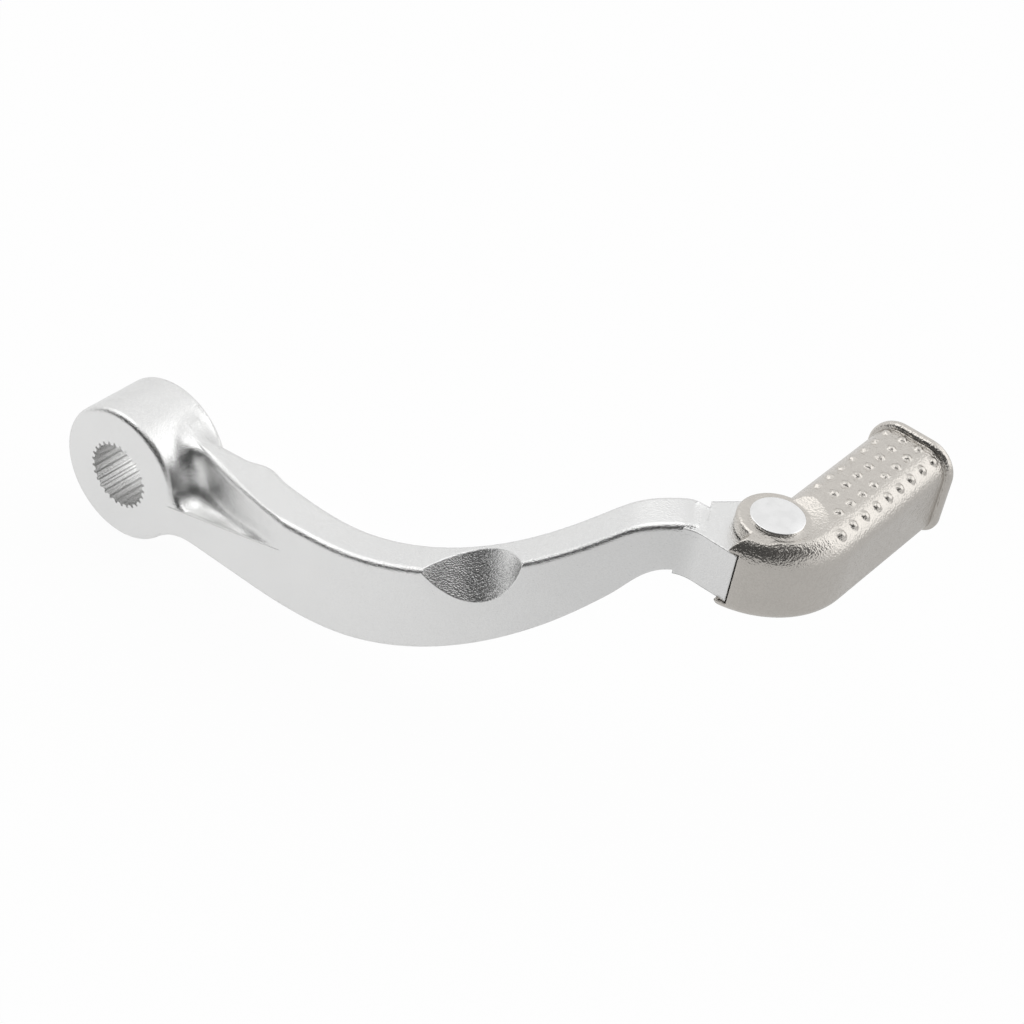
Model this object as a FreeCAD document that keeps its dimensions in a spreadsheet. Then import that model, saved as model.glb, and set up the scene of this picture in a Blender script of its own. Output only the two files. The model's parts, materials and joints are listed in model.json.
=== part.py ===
import FreeCAD, Part
import Sketcher
import math
import os

# Folding gear lever: a forged arm with a splined boss at one end and a cast toe piece at the
# other. The toe piece turns on a rivet and a hidden spring brings it back to its stop.
# Millimetres. The origin is the centre of the spline on the boss's face, +Y runs along the boss
# and the toe peg, +X from the boss to the toe, and +Z along the rivet.

SIZES = {
    "boss_radius": 14.05,
    "boss_length": 15.8,
    "boss_round": 1.2,
    "spline_teeth": 28,
    "spline_tip_radius": 6.4,
    "spline_depth": 0.6,
    "arm_thickness": 8.5,
    "root_thickness": 10.8,
    "root_end": 27,
    "root_blend": 5,
    "root_fillet": 6,
    "under_fillet": 12,
    "taper_end": 50.5,
    "taper_radius": 82,
    "arm_straight": 51,
    "arm_round": 1.2,
    "sweep_radius": 82,
    "sweep_angle": 34.5,
    "lead_length": 15.5,
    "crease_radius": 6,
    "top_slope": 6.5,
    "top_bend_x": 36,
    "top_bend_low": 14.6,
    "top_shoulder_radius": 14.3,
    "bottom_bend_x": 36.3,
    "bottom_bend_low": -5,
    "bottom_shoulder_radius": 7.4,
    "recess_web": 3.8,
    "recess_end": 39,
    "recess_blend": 9,
    "recess_floor": 0.8,
    "recess_exit": 0.35,
    "recess_lift": 0.12,
    "recess_slope": 15,
    "scallop_at": 79.4,
    "scallop_radius": 13,
    "scallop_depth": 4.8,
    "pivot_run": 9.38,
    "pivot_inset": 10.6,
    "pivot_radius": 3,
    "running_gap": 0.06,
    "seat_gap": 0.02,
    "block_top": 45.1,
    "block_height": 10.2,
    "block_margin": 1.76,
    "land_step": 0.4,
    "eye_radius": 7,
    "flank_angle": 50,
    "flank_rise": 0.8,
    "ear_overhang": 0.1,
    "ear_round": 0.8,
    "upper_ear": 2.55,
    "lower_ear": 2.05,
    "crown_rise": 1,
    "slot_gap": 0.35,
    "slot_reach": 14.2,
    "peg_front": 12.6,
    "peg_rear": 2.9,
    "peg_length": 36.5,
    "peg_round": 5,
    "peg_under_round": 2.6,
    "nose_radius": 17.6,
    "nose_proud": 0.6,
    "foot_reach": 2.3,
    "seat_margin": 1.14,
    "seat_slope": 20,
    "seat_shift": 6,
    "flange_length": 2,
    "flange_rise": 1,
    "flange_round": 0.8,
    "pip_pitch": 3.76,
    "pip_row_pitch": 3.4,
    "pip_base": 0.95,
    "pip_top": 0.4,
    "pip_height": 0.42,
    "head_radius": 4.86,
    "head_rim": 0.5,
    "head_crown": 0.5,
    "tail_radius": 4.2,
    "tail_height": 0.9,
    "spring_wire": 0.9,
    "spring_turns": 2.5,
    "spring_pitch": 1.2,
    "spring_room": 0.65,
}

# Grip pips in each row, from the rear row to the front one
PIP_ROWS = (7, 7, 8, 9)
# Flats round the spring's wire
WIRE_FLATS = 8
# Cross-sections along each stretch of the arm: beside the boss, at the waist, down the taper, round
# the sweep and over the shoulder
SECTION_COUNTS = (7, 3, 5, 6, 5)
# How far round a quarter fillet is followed, so that its end is never square on
FILLET_SHARE = 0.9


def worked_out(given):
    """Sizes that follow from the ones above: where the sweep leads, and what fits on what."""
    angle = math.radians(given["sweep_angle"])
    radius, lead = given["sweep_radius"], given["lead_length"]
    crease_x = given["arm_straight"] + radius * math.sin(angle) + lead * math.cos(angle)
    crease_y = radius * (1 - math.cos(angle)) + lead * math.sin(angle)
    block_bottom = given["block_top"] - given["block_height"]
    ear_top = given["block_top"] + given["slot_gap"] + given["upper_ear"]
    spring_radius = given["pivot_radius"] + given["spring_room"] + given["spring_wire"] / 2
    foot = math.hypot(given["foot_reach"], given["pivot_inset"] + given["land_step"])
    return {
        "crease_x": crease_x,
        "crease_y": crease_y,
        "pivot_x": crease_x + given["pivot_run"],
        "pivot_y": crease_y + given["pivot_inset"],
        "spline_root_radius": given["spline_tip_radius"] + given["spline_depth"],
        "recess_depth": given["root_thickness"] - given["recess_web"],
        "block_bottom": block_bottom,
        "block_radius": foot + given["block_margin"],
        "ear_radius": given["eye_radius"] + given["ear_overhang"],
        "ear_top": ear_top,
        "toe_top": ear_top + given["crown_rise"],
        "toe_bottom": block_bottom - given["slot_gap"] - given["lower_ear"],
        "seat_radius": given["head_radius"] + given["seat_margin"],
        "spring_radius": spring_radius,
        "well_radius": spring_radius + given["spring_wire"] / 2 + given["spring_room"],
    }


doc = FreeCAD.newDocument("FoldingGearLever")
sheet = doc.addObject("Spreadsheet::Sheet", "Sizes")
ALL_SIZES = dict(SIZES, **worked_out(SIZES))
for row, (name, value) in enumerate(ALL_SIZES.items(), start=1):
    sheet.set("A%d" % row, name)
    sheet.set("B%d" % row, str(value))
    sheet.setAlias("B%d" % row, name)
doc.recompute()


def size(name):
    return float(sheet.get(name))


def vec(point):
    return FreeCAD.Vector(point[0], point[1], 0)


def polar(centre, radius, degrees):
    angle = math.radians(degrees)
    return (centre[0] + radius * math.cos(angle), centre[1] + radius * math.sin(angle))


# Sketches, pads and cuts

def new_body(label):
    body = doc.addObject("PartDesign::Body", label)
    body.Label = label
    return body


def origin_plane(body, role):
    return [plane for plane in body.Origin.OriginFeatures if plane.Role == role][0]


def new_sketch(body, name, role, offsets=None):
    """A sketch on one of the body's own planes; offsets bind its shift to the sheet."""
    sketch = body.newObject("Sketcher::SketchObject", name)
    sketch.AttachmentSupport = [(origin_plane(body, role), "")]
    sketch.MapMode = "FlatFace"
    for axis, formula in (offsets or {}).items():
        sketch.setExpression("AttachmentOffset.Base." + axis, formula)
    doc.recompute()
    return sketch


def draw_outline(sketch, pieces):
    """A closed outline: each piece is two points (a line) or three (an arc through the middle)."""
    drawn = []
    for piece in pieces:
        points = [vec(point) for point in piece]
        edge = Part.LineSegment(*points) if len(points) == 2 else Part.Arc(*points)
        drawn.append(sketch.addGeometry(edge, False))
    for here, there in zip(drawn, drawn[1:] + drawn[:1]):
        joins = [(a, b) for a in (1, 2) for b in (1, 2)]
        gap = {ab: sketch.getPoint(here, ab[0]).distanceToPoint(sketch.getPoint(there, ab[1]))
               for ab in joins}
        end, start = min(joins, key=gap.get)
        sketch.addConstraint(Sketcher.Constraint("Coincident", here, end, there, start))
    return drawn


def bind(sketch, constraint, formula):
    index = sketch.addConstraint(constraint)
    sketch.setExpression("Constraints[%d]" % index, formula)


def draw_circle(sketch, formula, radius, centre=(0, 0)):
    circle = sketch.addGeometry(Part.Circle(vec(centre), FreeCAD.Vector(0, 0, 1), radius), False)
    bind(sketch, Sketcher.Constraint("Radius", circle, radius), formula)
    return circle


def pad(body, name, sketch, formula, reverse=False):
    feature = body.newObject("PartDesign::Pad", name)
    feature.Profile = sketch
    feature.setExpression("Length", formula)
    feature.Reversed = reverse
    doc.recompute()
    return feature


def pocket(body, name, sketch, formula=None, reverse=False):
    """A cut of a given depth, or right through both ways where no depth is given."""
    feature = body.newObject("PartDesign::Pocket", name)
    feature.Profile = sketch
    feature.Reversed = reverse
    if formula:
        feature.setExpression("Length", formula)
    else:
        feature.Type = "ThroughAll"
        feature.Midplane = True
    doc.recompute()
    return feature


def round_edges(body, name, keep, formula):
    """Round the edges of the body's last feature that the test `keep` picks out."""
    last = body.Tip
    edges = ["Edge%d" % n for n, edge in enumerate(last.Shape.Edges, start=1) if keep(edge)]
    feature = body.newObject("PartDesign::Fillet", name)
    feature.Base = (last, edges)
    feature.setExpression("Radius", formula)
    doc.recompute()
    return feature


def middle(edge):
    half = 0.5 * (edge.FirstParameter + edge.LastParameter)
    return edge.valueAt(half), edge.tangentAt(half)


# Points that several sub-parts share

def station(x):
    """Plan point of the arm's front at x, and its heading: straight, round the sweep, straight."""
    run, radius = max(x - size("arm_straight"), 0), size("sweep_radius")
    heading = min(math.asin(min(run / radius, 1)), math.radians(size("sweep_angle")))
    past = run - radius * math.sin(heading)
    y = radius * (1 - math.cos(heading)) + past * math.tan(heading)
    return (x, y), math.degrees(heading)


def pivot():
    return (size("pivot_x"), size("pivot_y"))


def s_bend(edge, level):
    """A rising bend and the shoulder that levels it off over the crease, touching each other."""
    start_x, low = size(edge + "_bend_x"), size(edge + "_bend_low")
    shoulder = size(edge + "_shoulder_radius")
    run, rise = size("crease_x") - start_x, level - low
    radius = (run ** 2 + rise ** 2) / (2 * rise) - shoulder
    centre = (start_x, low + radius)
    turn_point = (size("crease_x"), level - shoulder)
    steep = math.degrees(math.atan2(run, centre[1] - turn_point[1]))
    return radius, centre, shoulder, turn_point, steep


def land_level():
    return size("block_top") + size("land_step")


def bend_height(edge, level, x, slope=0):
    """Height of the arm's top or bottom edge: a straight start, the rising bend, the shoulder."""
    radius, centre, shoulder, turn_point, steep = s_bend(edge, level)
    start = polar(centre, radius, slope - 90)
    join = polar(centre, radius, steep - 90)
    if x < start[0]:
        return start[1] - (start[0] - x) * math.tan(math.radians(slope))
    if x < join[0]:
        return centre[1] - math.sqrt(radius ** 2 - (x - centre[0]) ** 2)
    reach = min(x, turn_point[0]) - turn_point[0]
    return turn_point[1] + math.sqrt(shoulder ** 2 - reach ** 2)


def corner_gain(x, rise, fillet):
    """How far a rounded corner against the boss stands off an edge that leaves the boss level."""
    boss = size("boss_radius")
    reach = math.sqrt((boss + fillet) ** 2 - (rise + fillet) ** 2)
    inward = min(max(reach - x, 0), reach * fillet / (boss + fillet))
    return fillet - math.sqrt(fillet ** 2 - inward ** 2)


def top_height(x):
    level, slope = land_level(), size("top_slope")
    rise = bend_height("top", level, 0, slope)
    return bend_height("top", level, x, slope) + corner_gain(x, rise, size("root_fillet"))


def bottom_height(x):
    level = size("block_bottom") + size("land_step")
    rise = -bend_height("bottom", level, 0)
    return bend_height("bottom", level, x) - corner_gain(x, rise, size("under_fillet"))


def rounding(inward, radius):
    """How far a quarter round of this radius has turned away, this far past its start."""
    inward = min(max(inward, 0), FILLET_SHARE * radius)
    return radius - math.sqrt(radius ** 2 - inward ** 2)


# The arm

def thickness(x):
    """Even along the sweep, thicker towards a shoulder near the boss, with a waist behind that."""
    fillet, root, end = size("root_fillet"), size("root_thickness"), size("root_end")
    even = size("arm_thickness")
    if x >= end:
        return even + max(size("taper_end") - x, 0) ** 2 / (2 * size("taper_radius"))
    shoulder = even + (size("taper_end") - end) ** 2 / (2 * size("taper_radius"))
    share = max(1 - (end - x) / size("root_blend"), 0)
    meets = math.sqrt(size("boss_radius") ** 2 - top_height(x) ** 2)
    return (root + (shoulder - root) * share ** 2 * (3 - 2 * share)
            + rounding(meets + fillet - x, fillet))


def cross_sketch(arm, name, x):
    """A sketch square to the arm at x: its flat axis runs from the arm's front to its back."""
    point, heading = station(x)
    sketch = new_sketch(arm, name, "YZ_Plane")
    sketch.AttachmentOffset = FreeCAD.Placement(
        FreeCAD.Vector(point[1], 0, point[0]), FreeCAD.Rotation(FreeCAD.Vector(0, 1, 0), heading))
    doc.recompute()
    return sketch


def rounded_box(left, low, right, high, upper, lower=None):
    """The outline of a box with rounded corners, the lower ones with their own radius."""
    lower = lower or upper
    ring = [((right, low), -45, lower), ((right, high), 45, upper),
            ((left, high), 135, upper), ((left, low), 225, lower)]
    arcs = []
    for corner, angle, radius in ring:
        centre = (corner[0] + (radius if corner[0] == left else -radius),
                  corner[1] + (radius if corner[1] == low else -radius))
        arcs.append(tuple(polar(centre, radius, angle + turned) for turned in (-45, 0, 45)))
    pieces = []
    for arc, following in zip(arcs, arcs[1:] + arcs[:1]):
        pieces += [arc, (arc[2], following[0])]
    return pieces


def add_forging(arm):
    """The arm's body, lofted through rounded cross-sections that follow the sweep."""
    boss, root, end = size("boss_radius"), size("root_end"), size("taper_end")
    waist = root - size("root_blend")
    shoulder = size("crease_x") - size("top_shoulder_radius")
    inside = size("crease_x") + size("crease_radius")
    ends = [boss / 2, waist, root, end, shoulder, size("crease_x")]
    places = []
    for first, last, steps in zip(ends, ends[1:], SECTION_COUNTS):
        places += [first + (last - first) * step / steps for step in range(steps)]
    places += [size("crease_x"), inside]
    sketches = []
    for number, x in enumerate(places):
        sketch = cross_sketch(arm, "Section%d" % number, x)
        draw_outline(sketch, rounded_box(0, bottom_height(x), thickness(x), top_height(x),
                                         size("arm_round")))
        sketches.append(sketch)
    loft = arm.newObject("PartDesign::AdditiveLoft", "Forging")
    loft.Profile = sketches[0]
    loft.Sections = sketches[1:]
    doc.recompute()
    return loft


def crease():
    """Plan points where the swept front turns into the block's front, with a soft inner corner."""
    angle = math.radians(size("sweep_angle"))
    reach = size("crease_radius") * math.tan(angle / 2)
    corner = (size("crease_x"), size("crease_y"))
    first = (corner[0] - reach * math.cos(angle), corner[1] - reach * math.sin(angle))
    last = (corner[0] + reach, corner[1])
    centre = (last[0], last[1] - size("crease_radius"))
    return first, polar(centre, size("crease_radius"), 90 + size("sweep_angle") / 2), last


def flank():
    """Plan points of the block's slanted back: on the arm's back line and on the eye."""
    touch = polar(pivot(), size("eye_radius") + size("flank_rise"), 90 + size("flank_angle"))
    end = polar((size("crease_x"), size("crease_y")), size("arm_thickness"), 90 + size("sweep_angle"))
    rise = math.tan(math.radians(size("sweep_angle")))
    lean = math.tan(math.radians(size("flank_angle")))
    x = (touch[1] - end[1] - lean * touch[0] + rise * end[0]) / (rise - lean)
    return (x, end[1] + rise * (x - end[0])), touch


def add_recess(arm):
    """A wedge cut out of the arm's upper front beside the boss. Its floor climbs away from the
    boss, its wall runs out just past the arm's front, and the wall's top edge is as round as the
    arm's; the round is lifted a little so that it cuts the arm's top at a clear angle."""
    boss, deep, soft = size("boss_radius"), size("recess_depth"), size("arm_round")
    climb = math.tan(math.radians(size("recess_slope")))
    lean = deep / (size("recess_end") - boss)
    last = size("recess_end") + size("recess_blend")
    bend = size("recess_end") - size("recess_blend")
    places = [boss / 2, boss, bend, size("recess_end"), last]
    sketches = []
    for number, x in enumerate(places):
        wall = (size("recess_end") - x) * lean
        if x >= bend:
            wall = lean * (last - x) ** 2 / (4 * size("recess_blend")) - size("recess_exit")
        floor = size("recess_floor") + (x - boss) * climb
        top, out = top_height(x) + size("recess_lift"), -deep
        sketch = cross_sketch(arm, "RecessSection%d" % number, x)
        draw_outline(sketch, [
            ((out, floor), (wall, floor)),
            ((wall, floor), (wall, top - soft)),
            ((wall, top - soft), polar((wall + soft, top - soft), soft, 135), (wall + soft, top)),
            ((wall + soft, top), (wall + soft, top + deep)),
            ((wall + soft, top + deep), (out, top + deep)),
            ((out, top + deep), (out, floor)),
        ])
        sketches.append(sketch)
    cut = arm.newObject("PartDesign::SubtractiveLoft", "Recess")
    cut.Profile = sketches[0]
    cut.Sections = sketches[1:]
    doc.recompute()
    return cut


def add_boss(arm):
    """The boss, turned about its own axis with rounded rims."""
    sketch = new_sketch(arm, "BossProfile", "XY_Plane")
    radius, length, soft = size("boss_radius"), size("boss_length"), size("boss_round")
    front, back = (radius - soft, soft), (radius - soft, length - soft)
    draw_outline(sketch, [
        ((0, 0), (front[0], 0)),
        ((front[0], 0), polar(front, soft, -45), (radius, front[1])),
        ((radius, front[1]), (radius, back[1])),
        ((radius, back[1]), polar(back, soft, 45), (back[0], length)),
        ((back[0], length), (0, length)),
        ((0, length), (0, 0)),
    ])
    boss = arm.newObject("PartDesign::Revolution", "Boss")
    boss.Profile = sketch
    boss.ReferenceAxis = (sketch, ["V_Axis"])
    boss.Angle = 360
    doc.recompute()
    return boss


def add_spline(arm):
    """A round bore, then one straight-sided groove repeated round it."""
    bore = new_sketch(arm, "BoreCircle", "XZ_Plane")
    draw_circle(bore, "Sizes.spline_tip_radius", size("spline_tip_radius"))
    pocket(arm, "Bore", bore)
    groove = new_sketch(arm, "GrooveOutline", "XZ_Plane")
    pitch = 360 / size("spline_teeth")
    inner = size("spline_tip_radius") - size("spline_root_radius") / size("spline_teeth")
    draw_outline(groove, [
        (polar((0, 0), inner, -pitch / 3), polar((0, 0), size("spline_root_radius"), -pitch / 8)),
        (polar((0, 0), size("spline_root_radius"), -pitch / 8),
         polar((0, 0), size("spline_root_radius"), pitch / 8)),
        (polar((0, 0), size("spline_root_radius"), pitch / 8), polar((0, 0), inner, pitch / 3)),
        (polar((0, 0), inner, pitch / 3), polar((0, 0), inner, -pitch / 3)),
    ])
    cut = pocket(arm, "Groove", groove)
    ring = arm.newObject("PartDesign::PolarPattern", "Spline")
    ring.Originals = [cut]
    ring.Axis = (groove, ["N_Axis"])
    ring.Angle = 360
    ring.setExpression("Occurrences", "Sizes.spline_teeth")
    arm.Tip = ring
    doc.recompute()
    return ring


def add_block(arm):
    """The milled end of the arm: a flat-topped block with a stop face, running into a round eye."""
    bottom = "Sizes.block_bottom"
    at_pivot = {"x": "Sizes.pivot_x", "y": "Sizes.pivot_y"}
    centre, eye, ring = pivot(), size("eye_radius"), size("block_radius")
    corner, touch = flank()
    stop = (centre[0] - size("land_step"), size("crease_y"))
    eye_start = polar(centre, eye, 180 + math.degrees(math.acos((centre[0] - stop[0]) / eye)))
    eye_end = polar(centre, eye, 90)
    first, valley, last = crease()
    inside = (size("crease_x"), size("crease_y") + size("arm_thickness") / 2)
    sketch = new_sketch(arm, "BlockPlan", "XY_Plane", {"z": bottom})
    draw_outline(sketch, [
        (first, valley, last),
        (last, stop),
        (stop, eye_start),
        (eye_start, polar(centre, eye, 0), eye_end),
        (eye_end, touch),
        (touch, corner),
        (corner, inside),
        (inside, first),
    ])
    pad(arm, "Block", sketch, "Sizes.block_height")
    above = new_sketch(arm, "TopFace", "XY_Plane", dict(at_pivot, z="Sizes.block_top"))
    draw_circle(above, "Sizes.block_radius", ring)
    pocket(arm, "MilledTop", above, "Sizes.block_height", reverse=True)
    under = new_sketch(arm, "UnderFace", "XY_Plane", dict(at_pivot, z=bottom))
    draw_circle(under, "Sizes.block_radius", ring)
    pocket(arm, "MilledUnder", under, "Sizes.block_height")
    well = new_sketch(arm, "SpringWell", "XY_Plane", dict(at_pivot, z=bottom))
    draw_circle(well, "Sizes.well_radius", size("well_radius"))
    pocket(arm, "SpringRoom", well, "Sizes.spring_pitch * Sizes.spring_turns + Sizes.spring_wire"
           " + Sizes.spring_room * 2", reverse=True)
    hole = new_sketch(arm, "EyeCircle", "XY_Plane", at_pivot)
    draw_circle(hole, "Sizes.pivot_radius + Sizes.running_gap",
                size("pivot_radius") + size("running_gap"))
    pocket(arm, "EyeBore", hole)


def add_scallop(arm):
    """A round dish milled across the arm's upper front edge, square to that edge."""
    x = size("scallop_at")
    point, heading = station(x)
    turned = math.radians(heading)
    bend = s_bend("top", land_level())[1]
    climb = math.atan2(x - bend[0], bend[1] - top_height(x))
    outward = FreeCAD.Vector(math.sin(turned), -math.cos(turned), 0)
    upward = FreeCAD.Vector(-math.sin(climb) * math.cos(turned), -math.sin(climb) * math.sin(turned),
                            math.cos(climb))
    bisect = (outward + upward).normalize()
    across = (outward - upward).normalize()
    edge = FreeCAD.Vector(x, point[1], top_height(x))
    centre = edge + bisect * (size("scallop_radius") - size("scallop_depth"))
    dish = arm.newObject("PartDesign::SubtractiveCylinder", "Scallop")
    dish.setExpression("Radius", "Sizes.scallop_radius")
    dish.setExpression("Height", "Sizes.scallop_radius * 4")
    dish.Placement = FreeCAD.Placement(centre - across * (2 * size("scallop_radius")),
                                       FreeCAD.Rotation(FreeCAD.Vector(0, 0, 1), across))
    doc.recompute()
    return dish


def make_arm():
    arm = new_body("lever_arm")
    add_forging(arm)
    add_recess(arm)
    add_boss(arm)
    add_block(arm)
    add_scallop(arm)
    add_spline(arm)
    return arm


# The toe piece

def is_peg_edge(edge):
    """The long edges of the nose and the peg, above and below."""
    spot, along = middle(edge)
    if abs(along.z) > 0.5 or abs(along.x) > 0.99:
        return False
    return spot.x > size("pivot_x") or spot.y > size("pivot_y")


def is_upper_peg_edge(edge):
    return is_peg_edge(edge) and middle(edge)[0].z > size("block_top")


def is_lower_peg_edge(edge):
    return is_peg_edge(edge) and middle(edge)[0].z < size("block_bottom")


def add_peg(tip):
    """The peg and its curved nose in one outline, with broad rounded long edges."""
    centre, radius = pivot(), size("nose_radius")
    foot = (centre[0] - size("foot_reach"), size("crease_y") - size("nose_proud"))
    hub_x = centre[0] + size("peg_front") - radius
    drop = math.degrees(math.acos((foot[0] - hub_x) / radius))
    hub = (hub_x, foot[1] + radius * math.sin(math.radians(drop)))
    side = polar(hub, radius, 0)
    rear, end = centre[0] - size("peg_rear"), centre[1] + size("peg_length")
    sketch = new_sketch(tip, "PegPlan", "XY_Plane", {"z": "Sizes.toe_bottom"})
    drawn = draw_outline(sketch, [
        (foot, polar(hub, radius, -drop / 2), side),
        (side, (side[0], end)),
        ((side[0], end), (rear, end)),
        ((rear, end), (rear, centre[1])),
        ((rear, centre[1]), foot),
    ])
    bind(sketch, Sketcher.Constraint("Radius", drawn[0], radius), "Sizes.nose_radius")
    pad(tip, "Peg", sketch, "Sizes.toe_top - Sizes.toe_bottom")
    round_edges(tip, "UpperEdges", is_upper_peg_edge, "Sizes.peg_round")
    round_edges(tip, "LowerEdges", is_lower_peg_edge, "Sizes.peg_under_round")


def turned_sketch(body, name):
    """A sketch whose upright axis is the rivet's."""
    return new_sketch(body, name, "XZ_Plane", {"x": "Sizes.pivot_x", "z": "-Sizes.pivot_y"})


def turn(body, name, sketch, kind="Revolution"):
    feature = body.newObject("PartDesign::" + kind, name)
    feature.Profile = sketch
    feature.ReferenceAxis = (sketch, ["V_Axis"])
    feature.Angle = 360
    doc.recompute()
    return feature


def add_ears(tip):
    """A round lug about the rivet, cut into two ears by the slot that the arm's eye fills."""
    sketch = turned_sketch(tip, "LugProfile")
    radius, soft = size("ear_radius"), size("ear_round")
    low, high = size("toe_bottom"), size("ear_top")
    draw_outline(sketch, [
        ((0, low), (radius - soft, low)),
        ((radius - soft, low), polar((radius - soft, low + soft), soft, -45), (radius, low + soft)),
        ((radius, low + soft), (radius, high - soft)),
        ((radius, high - soft), polar((radius - soft, high - soft), soft, 45), (radius - soft, high)),
        ((radius - soft, high), (0, high)),
        ((0, high), (0, low)),
    ])
    turn(tip, "Lug", sketch)


def add_slot(tip):
    """The slot: it ends at the stop wall in front and gives the folding arm room behind."""
    gap = size("slot_gap")
    level = "Sizes.block_bottom - Sizes.slot_gap"
    centre, room = pivot(), size("eye_radius") + gap
    stop = centre[0] - size("land_step") + gap
    near, far = centre[1] - size("nose_radius"), centre[1] + size("slot_reach")
    left, right = centre[0] - size("nose_radius"), centre[0] + room
    lean = math.degrees(math.acos((centre[0] - stop) / room))
    touch = polar(centre, room, 180 + lean)
    sketch = new_sketch(tip, "SlotPlan", "XY_Plane", {"z": level})
    draw_outline(sketch, [
        ((left, near), (stop, near)),
        ((stop, near), touch),
        (touch, polar(centre, room, lean / 2 - 90), (right, centre[1])),
        ((right, centre[1]), (right, far)),
        ((right, far), (left, far)),
        ((left, far), (left, near)),
    ])
    pocket(tip, "Slot", sketch, "Sizes.block_height + Sizes.slot_gap * 2", reverse=True)


def add_seat(tip, name, radius, shift="0"):
    """A shallow dish with a sloping wall, turned about the rivet or about a point in front of it."""
    sketch = new_sketch(tip, name + "Profile", "XZ_Plane",
                        {"x": "Sizes.pivot_x - " + shift, "z": shift + " - Sizes.pivot_y"})
    low, high = size("ear_top"), size("toe_top") + size("crown_rise")
    rim = radius + (high - low) / math.tan(math.radians(size("seat_slope")))
    draw_outline(sketch, [
        ((0, low), (radius, low)),
        ((radius, low), (rim, high)),
        ((rim, high), (0, high)),
        ((0, high), (0, low)),
    ])
    turn(tip, name, sketch, "Groove")


def add_rivet_hole(tip):
    sketch = new_sketch(tip, "HoleCircle", "XY_Plane", {"x": "Sizes.pivot_x", "y": "Sizes.pivot_y"})
    draw_circle(sketch, "Sizes.pivot_radius + Sizes.seat_gap", size("pivot_radius") + size("seat_gap"))
    pocket(tip, "RivetHole", sketch)


def add_flange(tip):
    """A rounded end plate that stands a little proud of the peg all round."""
    rise = size("flange_rise")
    left = size("pivot_x") - size("peg_rear") - rise
    right = size("pivot_x") + size("peg_front") + rise
    low, high = size("toe_bottom") - rise, size("toe_top") + rise
    sketch = new_sketch(tip, "FlangeOutline", "XZ_Plane", {"z": "-Sizes.pivot_y - Sizes.peg_length"})
    draw_outline(sketch, rounded_box(left, low, right, high, size("peg_round") + rise,
                                     size("peg_under_round") + rise))
    pad(tip, "Flange", sketch, "Sizes.flange_length", reverse=True)
    inner, outer = size("pivot_y") + size("peg_length"), rise / 2
    peg = (left + outer, right - outer, low + outer, high - outer)

    def is_rim(edge):
        """Edges of the flange's two faces that lie outside the peg."""
        box = edge.BoundBox
        flat = box.YLength < outer and box.YMin > inner - outer
        return flat and (box.XMin < peg[0] or box.XMax > peg[1] or box.ZMin < peg[2] or box.ZMax > peg[3])

    round_edges(tip, "FlangeRim", is_rim, "Sizes.flange_round")


def add_pips(tip):
    """Rows of grip pips, over the top and underneath; the rows nearer the front start sooner."""
    end = size("pivot_y") + size("peg_length") - size("pip_row_pitch") / 2
    for row, count in enumerate(PIP_ROWS):
        x = size("pivot_x") + row * size("pip_row_pitch")
        spot = FreeCAD.Vector(x, end - (count - 1) * size("pip_pitch"), 0)
        sink, tilt = crown(x, size("peg_round"))
        add_pip_row(tip, "Top%d" % row, count, spot, size("toe_top") - sink, tilt)
        sink, tilt = crown(x, size("peg_under_round"))
        add_pip_row(tip, "Under%d" % row, count, spot, size("toe_bottom") + sink, 180 - tilt)


def crown(x, soft):
    """How far the peg's rounded edge has dropped at x, and how far it leans there."""
    rear = size("pivot_x") - size("peg_rear") + soft
    front = size("pivot_x") + size("peg_front") - soft
    tilt = math.asin((min(x - rear, 0) + max(x - front, 0)) / soft)
    return soft - soft * math.cos(tilt), math.degrees(tilt)


def add_pip_row(tip, name, count, spot, level, tilt):
    """A blunt cone, half of it sunk in the peg and leaning with its surface, repeated along a row."""
    pip = tip.newObject("PartDesign::AdditiveCone", "Pip" + name)
    flare = size("pip_base") - size("pip_top")
    pip.Radius1 = size("pip_base") + flare
    pip.Radius2 = size("pip_top")
    pip.Height = size("pip_height") * 2
    upward = FreeCAD.Rotation(FreeCAD.Vector(0, 1, 0), tilt)
    base = FreeCAD.Vector(spot.x, spot.y, level)
    pip.Placement = FreeCAD.Placement(
        base - upward.multVec(FreeCAD.Vector(0, 0, size("pip_height"))), upward)
    doc.recompute()
    line = tip.newObject("PartDesign::LinearPattern", "Pips" + name)
    line.Originals = [pip]
    line.Direction = (origin_plane(tip, "Y_Axis"), [""])
    line.Length = (count - 1) * size("pip_pitch")
    line.Occurrences = count
    tip.Tip = line
    doc.recompute()


def make_tip():
    tip = new_body("toe_tip")
    add_peg(tip)
    add_ears(tip)
    add_flange(tip)
    add_seat(tip, "RivetSeat", size("seat_radius"))
    add_seat(tip, "NoseSeat", size("seat_radius") + size("seat_shift") / 2, "Sizes.seat_shift")
    add_slot(tip)
    add_rivet_hole(tip)
    add_pips(tip)
    return tip


# The rivet and the spring

def dome(radius, base, height):
    """Half-way point of the arc that domes a disc of this radius by this height."""
    ball = (height ** 2 + radius ** 2) / (2 * height)
    half = math.asin(radius / ball) / 2
    return (ball * math.sin(half), base + height - ball + ball * math.cos(half))


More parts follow.
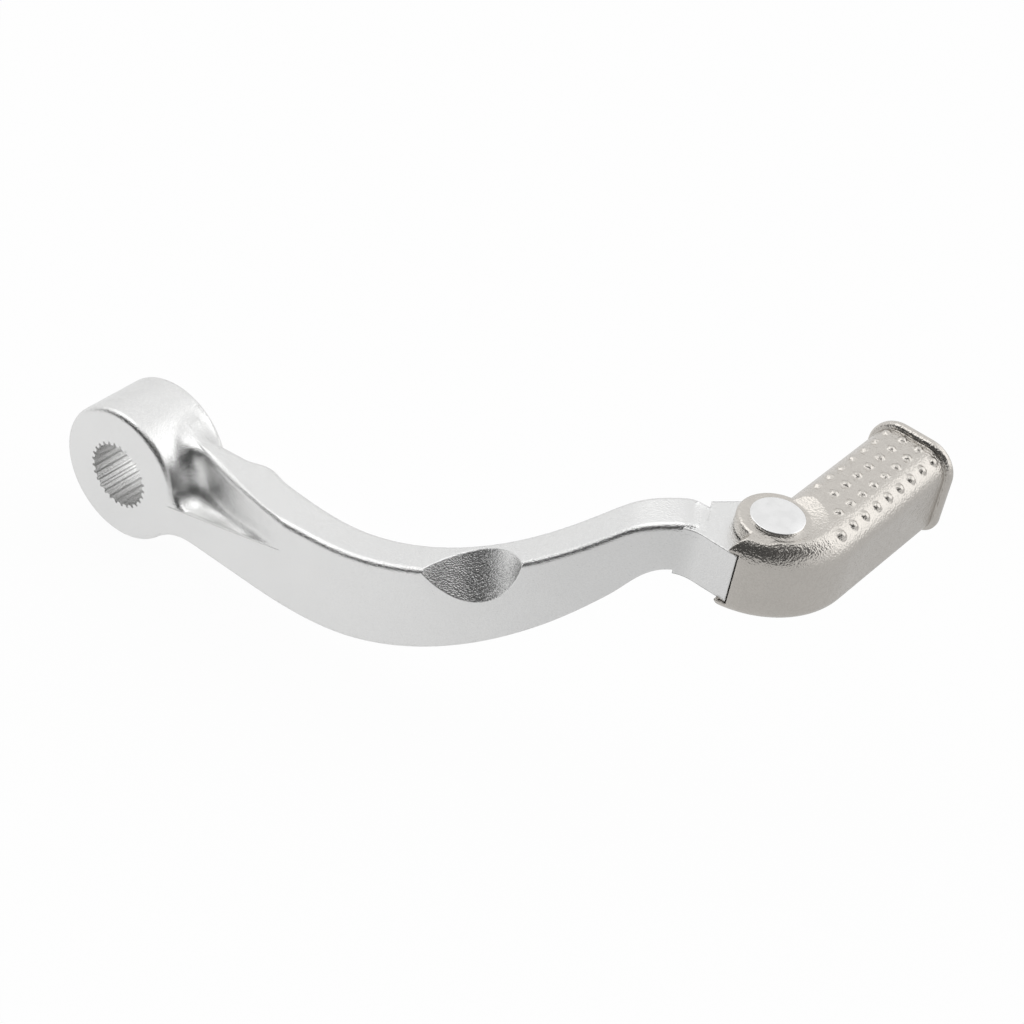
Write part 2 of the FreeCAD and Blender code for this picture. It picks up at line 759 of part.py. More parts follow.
def make_rivet():
    rivet = new_body("pivot_rivet")
    shank, head, tail = size("pivot_radius"), size("head_radius"), size("tail_radius")
    low, high = size("toe_bottom"), size("ear_top")
    rim, crown = high + size("head_rim"), size("head_crown")
    foot = low - size("tail_height")
    flipped = dome(tail, 0, size("tail_height"))
    sketch = turned_sketch(rivet, "RivetProfile")
    draw_outline(sketch, [
        ((0, foot), (flipped[0], low - flipped[1]), (tail, low)),
        ((tail, low), (shank, low)),
        ((shank, low), (shank, high)),
        ((shank, high), (head, high)),
        ((head, high), (head, rim)),
        ((head, rim), dome(head, rim, crown), (0, rim + crown)),
        ((0, rim + crown), (0, foot)),
    ])
    turn(rivet, "RivetTurned", sketch)
    return rivet


def make_spring():
    """The coil round the rivet. Its wire is drawn with flats, which is round enough at this size."""
    spring = new_body("return_spring")
    wire = size("spring_wire") / 2
    centre = (size("spring_radius"), size("block_bottom") + size("spring_room") + wire)
    corners = [polar(centre, wire, 360 * (k + 0.5) / WIRE_FLATS) for k in range(WIRE_FLATS)]
    sketch = turned_sketch(spring, "WireSection")
    draw_outline(sketch, list(zip(corners, corners[1:] + corners[:1])))
    coil = spring.newObject("PartDesign::AdditiveHelix", "Coil")
    coil.Profile = sketch
    coil.ReferenceAxis = (sketch, ["V_Axis"])
    coil.Mode = "pitch-turns-angle"
    coil.setExpression("Pitch", "Sizes.spring_pitch")
    coil.setExpression("Turns", "Sizes.spring_turns")
    doc.recompute()
    return spring


parts = [make_arm(), make_tip(), make_rivet(), make_spring()]
doc.recompute()

for item in doc.Objects:
    if "Invalid" in item.State or "Error" in item.State:
        raise RuntimeError("feature failed: " + item.Name)
os.makedirs("parts", exist_ok=True)
for part in parts:
    if part.Shape.isNull() or not part.Shape.isValid() or len(part.Shape.Solids) != 1:
        raise RuntimeError("no sound solid: " + part.Label)
    part.Shape.exportStep("parts/%s.step" % part.Label)
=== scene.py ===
import json
import math

import bpy
import numpy as np
from bpy.props import FloatProperty, FloatVectorProperty, PointerProperty
from mathutils import Matrix, Vector
from mathutils.bvhtree import BVHTree


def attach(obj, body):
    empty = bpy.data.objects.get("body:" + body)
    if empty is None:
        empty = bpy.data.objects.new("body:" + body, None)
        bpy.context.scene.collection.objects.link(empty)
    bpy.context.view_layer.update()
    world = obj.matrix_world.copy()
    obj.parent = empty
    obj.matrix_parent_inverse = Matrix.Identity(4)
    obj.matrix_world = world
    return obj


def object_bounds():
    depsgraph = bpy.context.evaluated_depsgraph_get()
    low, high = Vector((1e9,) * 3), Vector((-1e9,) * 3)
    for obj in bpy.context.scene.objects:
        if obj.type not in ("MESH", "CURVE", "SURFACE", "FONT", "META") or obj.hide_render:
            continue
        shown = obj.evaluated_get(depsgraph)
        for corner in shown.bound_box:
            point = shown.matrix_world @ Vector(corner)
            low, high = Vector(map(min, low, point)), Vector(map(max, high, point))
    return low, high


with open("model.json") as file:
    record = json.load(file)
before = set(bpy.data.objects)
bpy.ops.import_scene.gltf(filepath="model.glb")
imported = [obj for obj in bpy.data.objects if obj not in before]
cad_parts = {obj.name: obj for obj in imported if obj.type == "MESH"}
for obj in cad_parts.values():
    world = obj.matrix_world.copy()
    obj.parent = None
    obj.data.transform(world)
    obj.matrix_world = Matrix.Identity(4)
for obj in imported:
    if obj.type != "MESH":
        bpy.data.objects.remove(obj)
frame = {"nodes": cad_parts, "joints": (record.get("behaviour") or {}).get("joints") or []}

bl_info = {
    "name": "Folding Gear Lever",
    "version": (1, 0, 0),
    "blender": (4, 5, 0),
    "location": "3D View > Sidebar > Gear Lever",
    "description": "Finishes and studio for a folding motorbike gear lever",
    "category": "Object",
}

CAD_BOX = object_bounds()
MM = 0.001
WHITE = (1, 1, 1, 1)

# Finishes
COARSE_SCALE = 0.38  # scale of the coarse grain's noise against the fine grain's
COARSE_SHARE = 0.4  # how much of the grain's height is coarse
CLOUD_RANGE = (0.3, 0.7)  # the noise's values where a cloud starts and is full
GRAIN_RANGE = (0.35, 0.6)  # heights of the grain between which the painted shade in its hollows fades to the full colour on its tops
PAINTED_HOLLOW_SHADE = 0.95  # painted shade: colour in the grain's hollows against the colour on its tops
ROUGHNESS_SPREAD = 0.06  # how much the roughness differs from cloud to cloud
BORE_RANGE = (8.2 * MM, 9.5 * MM)  # radii between which edges go from crisp to soft
BORE_SHARE = 1 / 6  # softness of the bore's edges against the others
TOE_GRAIN = 1.65  # size of the toe's grain against the arm's
RIVET_GRAIN = 7  # size of the rivet's grain against the arm's
SPRING_ROUGHNESS = 0.4

# Blends
PHOTO_SIDE = (0.406, -0.661, 0.63)  # direction from the lever to the camera
PIVOT = frame["joints"][0]["pos_m"]  # a point on the rivet's axis
SHOULDER_BALL = 10 * MM  # radii of the balls that are rolled into the hollows
RECESS_BALL = 4.5 * MM
ARM_BALL = 2 * MM
EYE_BALL = 4 * MM
GRID_STEP = 0.2 * MM
RAY_START = 0.1  # how far in front of the grid the rays start
CLEARANCE = 0.03 * MM  # a skin is kept where it fills more than this
BLUR_STEPS = 2.2  # spread of the smoothing, in grid steps
OVERLAP_STEPS = 6  # how far a skin runs on past what it fills, in grid steps
STEEPEST = 6  # cells that rise by more than this many grid steps are left out
SINK = 0.01 * MM  # how far a skin is let into the arm
THICKNESS = 0.5 * MM  # depth of the sheet that closes a skin

# Studio: a spot on the dome is its direction and the cosines at its rim and at its core
FLOOR_REACH = 6.0
FLOOR_FADE = 0.18  # length in X over which the mirrored floor goes from near to far
CAMERA_WHITE = 0.96  # share of plain white in the floor that the camera sees
MIRROR_WHITE = 0.85  # share of plain white in the floor that the metal mirrors
OVERHEAD_LAMP = ((-0.5, -0.05, 0.865), 0.87, 0.95)
SIDE_LAMP = ((0.5, 0.68, 0.53), 0.78, 0.93)
DARK_SPOT = ((0.64, -0.2, 0.74), 0.84, 0.94)
DARK_FRONT = (-0.32, -0.52)  # Y of the directions where the dark side starts and is full
DARK_FOOT = (-0.08, 0.06)  # Z of the directions where the dark side starts and is full


# Settings

class LeverFinish(bpy.types.PropertyGroup):
    """Colours and surface sizes of the lever's pieces."""

    arm_colour: FloatVectorProperty(
        name="Arm", description="Colour of the forged aluminium arm",
        subtype="COLOR", size=3, min=0, max=1, default=(0.82, 0.82, 0.815))
    arm_roughness: FloatProperty(
        name="Arm Roughness", description="How much the arm's satin finish blurs reflections",
        subtype="FACTOR", min=0, max=1, default=0.2)
    toe_colour: FloatVectorProperty(
        name="Toe", description="Colour of the plated steel toe piece",
        subtype="COLOR", size=3, min=0, max=1, default=(0.63, 0.6, 0.56))
    toe_roughness: FloatProperty(
        name="Toe Roughness", description="How much the toe piece blurs reflections",
        subtype="FACTOR", min=0, max=1, default=0.24)
    rivet_colour: FloatVectorProperty(
        name="Rivet", description="Colour of the polished rivet",
        subtype="COLOR", size=3, min=0, max=1, default=(0.9, 0.9, 0.9))
    rivet_roughness: FloatProperty(
        name="Rivet Roughness", description="How much the rivet's head blurs reflections",
        subtype="FACTOR", min=0, max=1, default=0.16)
    spring_colour: FloatVectorProperty(
        name="Spring", description="Colour of the drawn spring wire",
        subtype="COLOR", size=3, min=0, max=1, default=(0.30, 0.30, 0.31))
    grain_size: FloatProperty(
        name="Grain", description="Size of the sparkling grain on the arm",
        unit="LENGTH", min=0.00005, max=0.005, default=0.00022)
    edge_softness: FloatProperty(
        name="Edge Softness", description="Radius over which small edges catch the light",
        unit="LENGTH", min=0, max=0.002, default=0.00045)


class StudioSettings(bpy.types.PropertyGroup):
    """The camera's place and the studio's light."""

    floor_colour: FloatVectorProperty(
        name="Floor", description="Colour of the studio floor",
        subtype="COLOR", size=3, min=0, max=1, default=(0.93, 0.93, 0.93))
    camera_place: FloatVectorProperty(
        name="Camera", description="Where the camera stands",
        subtype="TRANSLATION", unit="LENGTH", size=3, default=(0.2636, -0.2852, 0.3198))
    camera_azimuth: FloatProperty(
        name="Azimuth", description="Turn of the camera about the upright axis",
        subtype="ANGLE", default=math.radians(31.57))
    camera_elevation: FloatProperty(
        name="Elevation", description="How far the camera looks down",
        subtype="ANGLE", default=math.radians(39.09))
    camera_roll: FloatProperty(
        name="Roll", description="Turn of the camera about its own line of sight",
        subtype="ANGLE", default=math.radians(11.43))
    focal_length: FloatProperty(
        name="Lens", description="Focal length on a 36 mm wide sensor, in millimetres",
        min=10, max=300, default=91.4)
    dome_level: FloatProperty(
        name="Dome", description="Brightness of the white studio dome",
        min=0, max=5, default=0.9)
    dark_level: FloatProperty(
        name="Dark Side", description="Brightness of the unlit room on the camera's side",
        min=0, max=1, default=0.08)
    overhead_level: FloatProperty(
        name="Overhead", description="Brightness of the soft lamp overhead",
        min=0, max=5, default=1.7)
    side_level: FloatProperty(
        name="Side Lamp", description="Brightness of the soft lamp behind, on the toe's side",
        min=0, max=5, default=1.5)
    near_floor: FloatProperty(
        name="Near Floor", description="How bright the floor looks in the metal below the boss",
        subtype="FACTOR", min=0, max=1, default=0.96)
    far_floor: FloatProperty(
        name="Far Floor", description="How bright the floor looks in the metal below the toe",
        subtype="FACTOR", min=0, max=1, default=0.66)


# Node helpers

def new_group(name, inputs, outputs):
    """An empty shader group with named sockets; inputs are (name, kind, default)."""
    group = bpy.data.node_groups.new(name, "ShaderNodeTree")
    for label, kind, default in inputs:
        socket = group.interface.new_socket(label, in_out="INPUT", socket_type=kind)
        if default is not None:
            socket.default_value = default
    for label, kind in outputs:
        group.interface.new_socket(label, in_out="OUTPUT", socket_type=kind)
    return group, group.nodes.new("NodeGroupInput"), group.nodes.new("NodeGroupOutput")


def feed(tree, socket, given):
    """Link an input to another node's output, or set it to a value."""
    if isinstance(given, bpy.types.NodeSocket):
        tree.links.new(given, socket)
    else:
        socket.default_value = given


def node(tree, kind, inputs=None, **values):
    """A new node with its properties set, and its inputs set or linked by name or number."""
    made = tree.nodes.new(kind)
    for key, value in values.items():
        setattr(made, key, value)
    for label, given in (inputs or {}).items():
        feed(tree, made.inputs[label], given)
    return made


def math_node(tree, operation, a, b, clamp=False):
    """One sum on two numbers or outputs."""
    return node(tree, "ShaderNodeMath", operation=operation, use_clamp=clamp,
                inputs={0: a, 1: b}).outputs[0]


def between(tree, share, a, b):
    """The number that lies a share of the way from a to b."""
    return node(tree, "ShaderNodeMix", data_type="FLOAT",
                inputs={"Factor": share, "A": a, "B": b}).outputs["Result"]


def ramp(tree, value, low, high, to_low=0.0, to_high=1.0):
    """A smooth step from to_low to to_high as value goes from low to high."""
    return node(tree, "ShaderNodeMapRange", interpolation_type="SMOOTHSTEP",
                inputs={"Value": value, "From Min": low, "From Max": high,
                        "To Min": to_low, "To Max": to_high}).outputs["Result"]


# Shared effects

def grain_group():
    """Fine metal grain: a fine and a coarse noise mixed by a share and given as height."""
    group, given, out = new_group(
        "Metal Grain",
        [("Position", "NodeSocketVector", None), ("Grain Size", "NodeSocketFloat", 0.3 * MM),
         ("Coarse Share", "NodeSocketFloat", COARSE_SHARE)],
        [("Height", "NodeSocketFloat")])
    place = given.outputs["Position"]
    scale = math_node(group, "DIVIDE", 1.0, given.outputs["Grain Size"])
    coarse_scale = math_node(group, "MULTIPLY", scale, COARSE_SCALE)
    fine, coarse = [
        node(group, "ShaderNodeTexNoise",
             {"Vector": place, "Scale": size, "Detail": 1.0, "Roughness": 0.5}).outputs["Fac"]
        for size in (scale, coarse_scale)]
    height = between(group, given.outputs["Coarse Share"], fine, coarse)
    group.links.new(height, out.inputs["Height"])
    return group


def cloud_group():
    """Broad, faint unevenness left by polishing and handling."""
    group, given, out = new_group(
        "Handling Clouds",
        [("Position", "NodeSocketVector", None), ("Patch Size", "NodeSocketFloat", 10 * MM)],
        [("Cloud", "NodeSocketFloat")])
    scale = math_node(group, "DIVIDE", 1.0, given.outputs["Patch Size"])
    noise = node(group, "ShaderNodeTexNoise", {
        "Vector": given.outputs["Position"], "Scale": scale, "Detail": 3.0, "Roughness": 0.55})
    group.links.new(ramp(group, noise.outputs["Fac"], *CLOUD_RANGE), out.inputs["Cloud"])
    return group


def soft_edge_group():
    """Normals that turn smoothly over a small edge; the radius is smaller round the bore's axis,
    so that the serrations stay crisp."""
    group, given, out = new_group(
        "Soft Edge",
        [("Position", "NodeSocketVector", None), ("Radius", "NodeSocketFloat", 0.4 * MM)],
        [("Normal", "NodeSocketVector")])
    flat = node(group, "ShaderNodeVectorMath", operation="MULTIPLY",
                inputs={0: given.outputs["Position"], 1: (1, 0, 1)})
    away = node(group, "ShaderNodeVectorMath", operation="LENGTH", inputs={0: flat.outputs[0]})
    share = ramp(group, away.outputs["Value"], *BORE_RANGE, BORE_SHARE, 1.0)
    radius = math_node(group, "MULTIPLY", given.outputs["Radius"], share)
    bevel = node(group, "ShaderNodeBevel", samples=8, inputs={"Radius": radius})
    group.links.new(bevel.outputs["Normal"], out.inputs["Normal"])
    return group


GROUP_MAKERS = {
    "Metal Grain": grain_group,
    "Handling Clouds": cloud_group,
    "Soft Edge": soft_edge_group,
}


def effect(tree, name, **inputs):
    """The outputs of a shared effect, which is made the first time that it is asked for."""
    group = bpy.data.node_groups.get(name) or GROUP_MAKERS[name]()
    named = {label.replace("_", " ").title(): given for label, given in inputs.items()}
    return node(tree, "ShaderNodeGroup", named, node_tree=group).outputs


# Materials

def metal(name, colour, roughness, grain, depth, patch, softness, coarse=COARSE_SHARE):
    """A grained metal: colour dimmed a little in the grain's hollows as painted shade, roughness
    clouded.
    """
    material = bpy.data.materials.new(name)
    material.use_nodes = True
    tree = material.node_tree
    place = node(tree, "ShaderNodeTexCoord").outputs["Object"]
    grains = effect(tree, "Metal Grain", position=place, grain_size=grain, coarse_share=coarse)
    clouds = effect(tree, "Handling Clouds", position=place, patch_size=patch)
    edges = effect(tree, "Soft Edge", position=place, radius=softness)
    # painted shade: the colour is dimmed where the grain's height is low, as if its hollows were
    # in shadow
    hollow_shaded_colour = node(tree, "ShaderNodeMix", data_type="RGBA", inputs={
        "Factor": ramp(tree, grains["Height"], *GRAIN_RANGE),
        "A": (*[channel * PAINTED_HOLLOW_SHADE for channel in colour], 1), "B": (*colour, 1)})
    rough = ramp(tree, clouds["Cloud"], 0.0, 1.0,
                 roughness - ROUGHNESS_SPREAD / 2, roughness + ROUGHNESS_SPREAD / 2)
    bump = node(tree, "ShaderNodeBump", {
        "Strength": 1.0, "Distance": depth, "Height": grains["Height"],
        "Normal": edges["Normal"]})
    shader = tree.nodes["Principled BSDF"].inputs
    feed(tree, shader["Metallic"], 1.0)
    feed(tree, shader["Base Color"], hollow_shaded_colour.outputs["Result"])
    feed(tree, shader["Roughness"], rough)
    feed(tree, shader["Normal"], bump.outputs["Normal"])
    return material


def arm_metal(look, name, softness):
    """The arm's bright satin, with edges softened over a given radius."""
    return metal(name, look.arm_colour, look.arm_roughness, grain=look.grain_size,
                 depth=0.1 * MM, patch=12 * MM, softness=softness, coarse=0.1)


def give(piece, material):
    """Put one material on a CAD node."""
    mesh = frame["nodes"][piece].data
    mesh.materials.clear()
    mesh.materials.append(material)


# Blends

def rise(value, low, high):
    """A smooth step from 0 at low to 1 at high."""
    part = np.clip((value - low) / (high - low), 0, 1)
    return part * part * (3 - 2 * part)


def on_shoulder(place):
    """1 on the boss's shoulder, high and to the back, and 0 elsewhere."""
    high = rise(place[..., 2], 7 * MM, 11 * MM)
    to_back = rise(place[..., 1], 5 * MM, 9.5 * MM)
    return high * to_back


def down_arm(place):
    """0 by the boss, rising to 1 along the arm."""
    return rise(place[..., 0], 17 * MM, 26 * MM)


def beside_boss(place):
    """The recess beside the boss and the shoulder over it, clear of the bore."""
    x, y, z = np.moveaxis(place, -1, 0)
    off_bore = np.hypot(x, z) > 9.5 * MM
    near_boss = x < 16 * MM
    in_recess = y < 9 * MM
    return off_bore & (near_boss | in_recess)


def before_eye(place):
    """The arm's top up to the milled ring of the eye."""
    x, y, z = np.moveaxis(place, -1, 0)
    off_ring = np.hypot(x - PIVOT[0], y - PIVOT[1]) > 10 * MM
    on_top = z > 40 * MM
    return off_ring & on_top


def blurred(values, known, spread):
    """Values averaged over a bell of the given spread in grid steps, over known cells alone."""
    reach = int(3 * spread) + 1
    bell = np.exp(-0.5 * (np.arange(-reach, reach + 1) / spread) ** 2)

    def both_ways(grid):
        for axis in (0, 1):
            grid = np.apply_along_axis(np.convolve, axis, grid, bell, "same")
        return grid

    weight = np.maximum(both_ways(known.astype(float)), 1e-9)
    return np.where(known, both_ways(np.where(known, values, 0.0)) / weight, values)


def rolled(heights, radius, step):
    """Heights under a ball rolled over them: each is raised to the ball's lowest reach, which
    fills every hollow that is tighter than the ball with a round of the ball's radius."""
    reach = int(radius / step)
    sides = np.arange(-reach, reach + 1)
    offsets = [(i, j, math.sqrt(radius**2 - (i * i + j * j) * step**2))
               for i in sides for j in sides if (i * i + j * j) * step**2 <= radius**2]
    rows, columns = heights.shape

    def swept(grid, best, sign, fill):
        padded = np.pad(grid, reach, constant_values=fill)
        made = np.full(grid.shape, fill)
        for i, j, lift in offsets:
            window = padded[reach + i:reach + i + rows, reach + j:reach + j + columns]
            made = best(made, window + sign * lift)
        return made

    return swept(swept(heights, np.maximum, 1, -np.inf), np.minimum, -1, np.inf)


def arm_heights(plane, toward):
    """Heights of the arm over a grid of points, from rays cast back along a direction; minus
    infinity where a ray meets nothing."""
    mesh = frame["nodes"]["lever_arm"].data
    tree = BVHTree.FromPolygons([vertex.co for vertex in mesh.vertices],
                                [face.vertices for face in mesh.polygons])
    heights = np.full(plane.shape[:2], -np.inf)
    for i, j in np.ndindex(*heights.shape):
        start = Vector(plane[i, j] + toward * RAY_START)
        distance = tree.ray_cast(start, Vector(-toward))[3]
        if distance is not None:
            heights[i, j] = RAY_START - distance
    return heights


def cell_corners(grid):
    """The values at the four corners of each cell of a grid, in turn round the cell."""
    return np.stack([grid[:-1, :-1], grid[1:, :-1], grid[1:, 1:], grid[:-1, 1:]], axis=-1)


def arm_blend(name, material, centre, size, wanted, balls):
    """A skin that rounds the arm's tight hollows: the arm's height over a grid square to the
    photo's direction, raised to where a ball rolled over it would rest. The balls are
    (radius, share), and their heights are averaged by their shares at each place. The skin is
    smoothed, kept where it fills the arm and a few steps beyond, let into the arm by a hair, and
    closed below."""
    step = GRID_STEP
    toward = np.array(PHOTO_SIDE) / np.linalg.norm(PHOTO_SIDE)
    across = np.cross((0.0, 0.0, 1.0), toward)
    across /= np.linalg.norm(across)
    up = np.cross(toward, across)
    counts = [int(length / step) for length in size]
    u, v = [(np.arange(count) - (count - 1) / 2) * step for count in counts]
    plane = centre + u[:, None, None] * across + v[None, :, None] * up
    heights = arm_heights(plane, toward)
    known = np.isfinite(heights)
    ground = np.where(known, heights, 0.0)
    places = plane + ground[..., None] * toward

    shares = [share(places) for radius, share in balls]
    rests = [np.where(known, rolled(heights, radius, step), 0.0) for radius, share in balls]
    raised = sum(rest * share for rest, share in zip(rests, shares)) / sum(shares)
    filled = raised - ground > CLEARANCE
    raised = blurred(raised, known, BLUR_STEPS)

    inside = np.zeros(counts, bool)
    margin = int(max(radius for radius, share in balls) / step) + 1
    inside[margin:-margin, margin:-margin] = True
    kept = known & inside & filled & wanted(places)
    for _ in range(OVERLAP_STEPS):
        padded = np.pad(kept, 1)
        beside = padded[2:, 1:-1] | padded[:-2, 1:-1] | padded[1:-1, 2:] | padded[1:-1, :-2]
        kept = known & (kept | beside)
    flat = np.ptp(cell_corners(raised), axis=-1) <= STEEPEST * step
    cells = cell_corners(kept).all(axis=-1) & flat
    skin(name, plane + (raised - SINK)[..., None] * toward, cells, -THICKNESS * toward, material)


def skin(name, places, cells, drop, material):
    """A closed sheet: the chosen cells of a grid of points, the same cells dropped, and a rim."""
    index = np.arange(places[..., 0].size).reshape(places.shape[:2])
    top = cell_corners(index)[cells]
    edges = np.concatenate([top[:, [k, (k + 1) % 4]] for k in range(4)])
    present = {tuple(edge) for edge in edges.tolist()}
    rim = np.array([edge for edge in present if edge[::-1] not in present])
    used, flat = np.unique(top, return_inverse=True)
    top = flat.reshape(top.shape)
    rim = np.searchsorted(used, rim)
    count = len(used)
    points = places.reshape(-1, 3)[used]
    sides = np.column_stack([rim[:, 1], rim[:, 0], rim[:, 0] + count, rim[:, 1] + count])
    faces = np.concatenate([top, top[:, ::-1] + count, sides])
    mesh = bpy.data.meshes.new(name)
    mesh.from_pydata(np.concatenate([points, points + drop]).tolist(), [], faces.tolist())
    mesh.shade_smooth()
    mesh.materials.append(material)
    piece = bpy.data.objects.new(name, mesh)
    bpy.context.scene.collection.objects.link(piece)
    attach(piece, "arm")


# Studio

def camera_turn(studio):
    """The camera's turn: about Z by the azimuth, down by the elevation, then rolled."""
    about_z = Matrix.Rotation(studio.camera_azimuth, 3, "Z")
    down = Matrix.Rotation(math.pi / 2 - studio.camera_elevation, 3, "X")
    roll = Matrix.Rotation(studio.camera_roll, 3, "Z")
    return about_z @ down @ roll


def add_camera(scene, studio):
    """The camera that the photo was taken with, as fitted to the photo."""
    data = bpy.data.cameras.new("Camera")
    data.lens = studio.focal_length
    data.sensor_width = 36
    data.clip_start = 0.01
    camera = bpy.data.objects.new("Camera", data)
    turn = camera_turn(studio)
    camera.matrix_world = Matrix.Translation(studio.camera_place) @ turn.to_4x4()
    scene.collection.objects.link(camera)
    scene.camera = camera


def floor_material(studio):
    """Matt, but nearly plain white to the camera, and in the metal a white that fades along X."""
    material = bpy.data.materials.new("Studio floor")
    material.use_nodes = True
    tree = material.node_tree
    tree.nodes.remove(tree.nodes["Principled BSDF"])
    path = node(tree, "ShaderNodeLightPath").outputs
    place = node(tree, "ShaderNodeTexCoord").outputs["Object"]
    along = node(tree, "ShaderNodeSeparateXYZ", {0: place}).outputs["X"]
    mirrored = ramp(tree, along, 0.0, FLOOR_FADE, studio.near_floor, studio.far_floor)
    level = between(tree, path["Is Camera Ray"], mirrored, 1.0)
    matt = node(tree, "ShaderNodeBsdfDiffuse", {"Color": (*studio.floor_colour, 1)})
    white = node(tree, "ShaderNodeEmission", {"Color": WHITE, "Strength": level})
    seen = math_node(tree, "MULTIPLY", path["Is Camera Ray"], CAMERA_WHITE)
    glossy = math_node(tree, "MULTIPLY", path["Is Glossy Ray"], MIRROR_WHITE)
    share = math_node(tree, "ADD", seen, glossy, clamp=True)
    mix = node(tree, "ShaderNodeMixShader", {0: share, 1: matt.outputs[0], 2: white.outputs[0]})
    tree.links.new(mix.outputs[0], tree.nodes["Material Output"].inputs["Surface"])
    return material


def add_floor(studio):
    """A wide square floor at the lever's lowest point."""
    level = CAD_BOX[0][2]
    square = np.array([(-1, -1, 0), (1, -1, 0), (1, 1, 0), (-1, 1, 0)])
    mesh = bpy.data.meshes.new("Floor")
    mesh.from_pydata((square * FLOOR_REACH + (0, 0, level)).tolist(), [], [(0, 1, 2, 3)])
    mesh.materials.append(floor_material(studio))
    floor = bpy.data.objects.new("Floor", mesh)
    bpy.context.scene.collection.objects.link(floor)


def spot(tree, direction, place, outside=0.0, inside=1.0):
    """A soft round spot on the dome: a smooth step from its rim to its core."""
    axis, rim, core = place
    cosine = node(tree, "ShaderNodeVectorMath", operation="DOT_PRODUCT",
                  inputs={0: direction, 1: axis}).outputs["Value"]
    return ramp(tree, cosine, rim, core, outside, inside)


def light_dome(scene, studio):
    """A white dome with a brighter lamp overhead, leaning to the boss's end, and another behind
    on the toe's side. It is dark on the camera's side above the floor and in a spot over the toe.
    The camera itself sees white."""
    world = bpy.data.worlds.new("Studio dome")
    world.use_nodes = True
    scene.world = world
    tree = world.node_tree
    direction = node(tree, "ShaderNodeTexCoord").outputs["Generated"]
    parts = node(tree, "ShaderNodeSeparateXYZ", {0: direction}).outputs
    dome = spot(tree, direction, OVERHEAD_LAMP, studio.dome_level, studio.overhead_level)
    dome = between(tree, spot(tree, direction, SIDE_LAMP), dome, studio.side_level)
    front = math_node(tree, "MULTIPLY", ramp(tree, parts["Y"], *DARK_FRONT),
                      ramp(tree, parts["Z"], *DARK_FOOT))
    dark = math_node(tree, "MAXIMUM", front, spot(tree, direction, DARK_SPOT))
    shaded = between(tree, dark, dome, studio.dark_level)
    seen = node(tree, "ShaderNodeLightPath").outputs["Is Camera Ray"]
    background = tree.nodes["Background"].inputs
    feed(tree, background["Color"], WHITE)
    feed(tree, background["Strength"], between(tree, seen, shaded, 1.0))


# Operators

class FinishArm(bpy.types.Operator):
    """Give the forged arm its bright, sparkling satin"""

    bl_idname = "gear_lever.finish_arm"
    bl_label = "Finish Arm"

    def execute(self, context):
        look = context.scene.lever_finish
        give("lever_arm", arm_metal(look, "Forged satin aluminium", look.edge_softness))
        return {"FINISHED"}


class BlendArm(bpy.types.Operator):
    """Round the hollows where the arm meets its boss and its eye"""

    bl_idname = "gear_lever.blend_arm"
    bl_label = "Blend Arm"

    def execute(self, context):
        look = context.scene.lever_finish
        satin = arm_metal(look, "Forged satin aluminium in the hollows", 0.0)
        arm_blend("root_blend", satin, centre=np.array((20, 7, 7)) * MM,
                  size=(55 * MM, 51 * MM), wanted=beside_boss,
                  balls=[(SHOULDER_BALL, on_shoulder),
                         (RECESS_BALL, lambda at: (1 - on_shoulder(at)) * (1 - down_arm(at))),
                         (ARM_BALL, lambda at: (1 - on_shoulder(at)) * down_arm(at))])
        arm_blend("eye_blend", satin, centre=np.array((106, 26, 42)) * MM,
                  size=(28 * MM, 28 * MM), wanted=before_eye,
                  balls=[(EYE_BALL, lambda at: np.ones(at.shape[:2]))])
        return {"FINISHED"}


class FinishToe(bpy.types.Operator):
    """Give the toe piece its warm grey plating"""

    bl_idname = "gear_lever.finish_toe"
    bl_label = "Finish Toe"

    def execute(self, context):
        look = context.scene.lever_finish
        give("toe_tip", metal(
            "Plated cast steel", look.toe_colour, look.toe_roughness,
            grain=look.grain_size * TOE_GRAIN, depth=0.18 * MM, patch=9 * MM,
            softness=look.edge_softness))
        return {"FINISHED"}


class FinishRivet(bpy.types.Operator):
    """Give the rivet its polish"""

    bl_idname = "gear_lever.finish_rivet"
    bl_label = "Finish Rivet"

    def execute(self, context):
        look = context.scene.lever_finish
        give("pivot_rivet", metal(
            "Polished rivet steel", look.rivet_colour, look.rivet_roughness,
            grain=look.grain_size * RIVET_GRAIN, depth=0.03 * MM, patch=4 * MM,
            softness=look.edge_softness / 2))
        return {"FINISHED"}


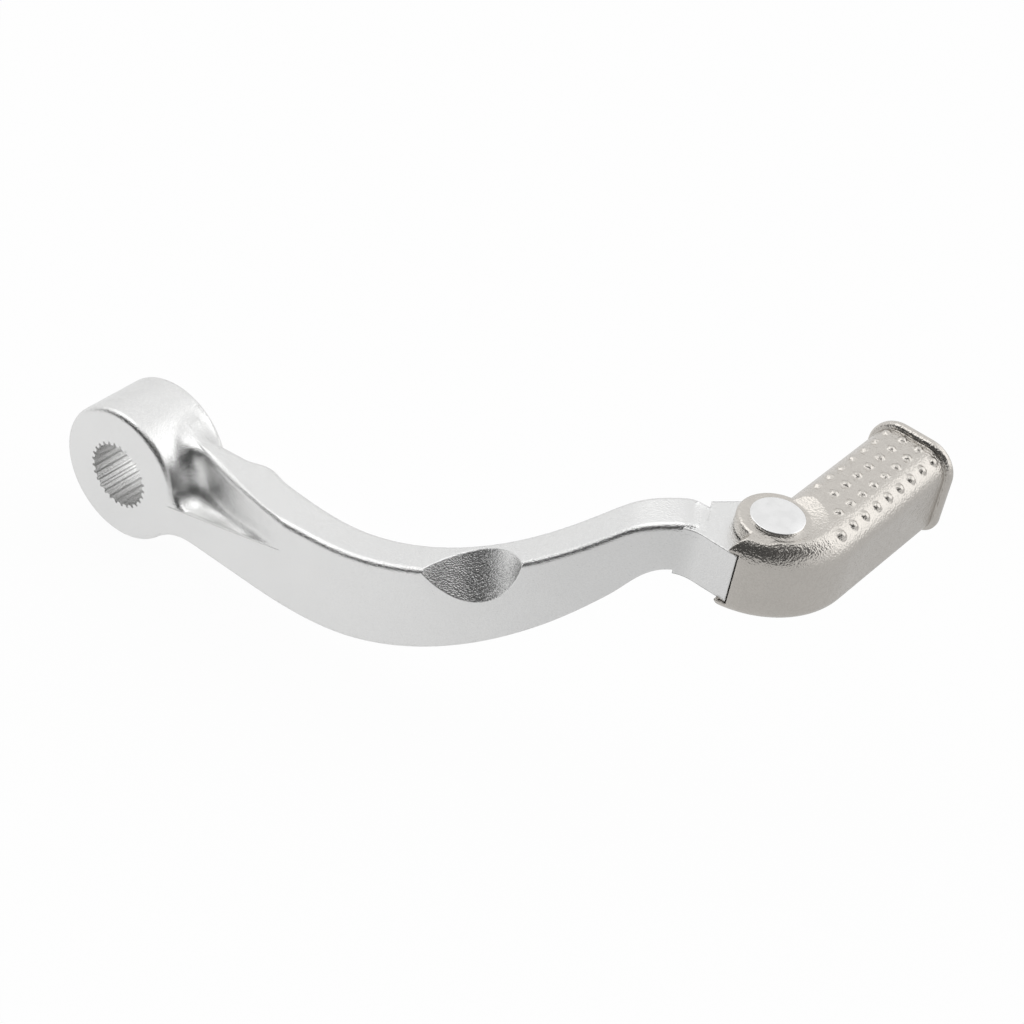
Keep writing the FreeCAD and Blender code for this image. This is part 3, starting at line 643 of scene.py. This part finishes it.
class FinishSpring(bpy.types.Operator):
    """Give the hidden spring its drawn wire"""

    bl_idname = "gear_lever.finish_spring"
    bl_label = "Finish Spring"

    def execute(self, context):
        look = context.scene.lever_finish
        give("return_spring", metal(
            "Drawn spring wire", look.spring_colour, SPRING_ROUGHNESS,
            grain=look.grain_size, depth=0.01 * MM, patch=3 * MM,
            softness=look.edge_softness / 4))
        return {"FINISHED"}


class MakeStudio(bpy.types.Operator):
    """Lay the floor, light the studio and set up the camera"""

    bl_idname = "gear_lever.make_studio"
    bl_label = "Make Studio"

    def execute(self, context):
        studio = context.scene.lever_studio
        add_floor(studio)
        add_camera(context.scene, studio)
        light_dome(context.scene, studio)
        context.scene.view_settings.view_transform = "Standard"
        return {"FINISHED"}


OPERATORS = (FinishArm, BlendArm, FinishToe, FinishRivet, FinishSpring, MakeStudio)


class GearLeverPanel(bpy.types.Panel):
    """Lists the steps that finish the lever, and the settings they use"""

    bl_idname = "VIEW3D_PT_gear_lever"
    bl_label = "Gear Lever"
    bl_space_type = "VIEW_3D"
    bl_region_type = "UI"
    bl_category = "Gear Lever"

    def draw(self, context):
        for operator in OPERATORS:
            self.layout.operator(operator.bl_idname)
        for settings in (context.scene.lever_finish, context.scene.lever_studio):
            for name in settings.__annotations__:
                self.layout.prop(settings, name)


CLASSES = (LeverFinish, StudioSettings, *OPERATORS, GearLeverPanel)


def register():
    for item in CLASSES:
        bpy.utils.register_class(item)
    bpy.types.Scene.lever_finish = PointerProperty(type=LeverFinish)
    bpy.types.Scene.lever_studio = PointerProperty(type=StudioSettings)


def unregister():
    del bpy.types.Scene.lever_studio
    del bpy.types.Scene.lever_finish
    for item in reversed(CLASSES):
        bpy.utils.unregister_class(item)


def main():
    register()
    bpy.ops.gear_lever.finish_arm()
    bpy.ops.gear_lever.blend_arm()
    bpy.ops.gear_lever.finish_toe()
    bpy.ops.gear_lever.finish_rivet()
    bpy.ops.gear_lever.finish_spring()
    bpy.ops.gear_lever.make_studio()


if __name__ == "__main__":
    main()
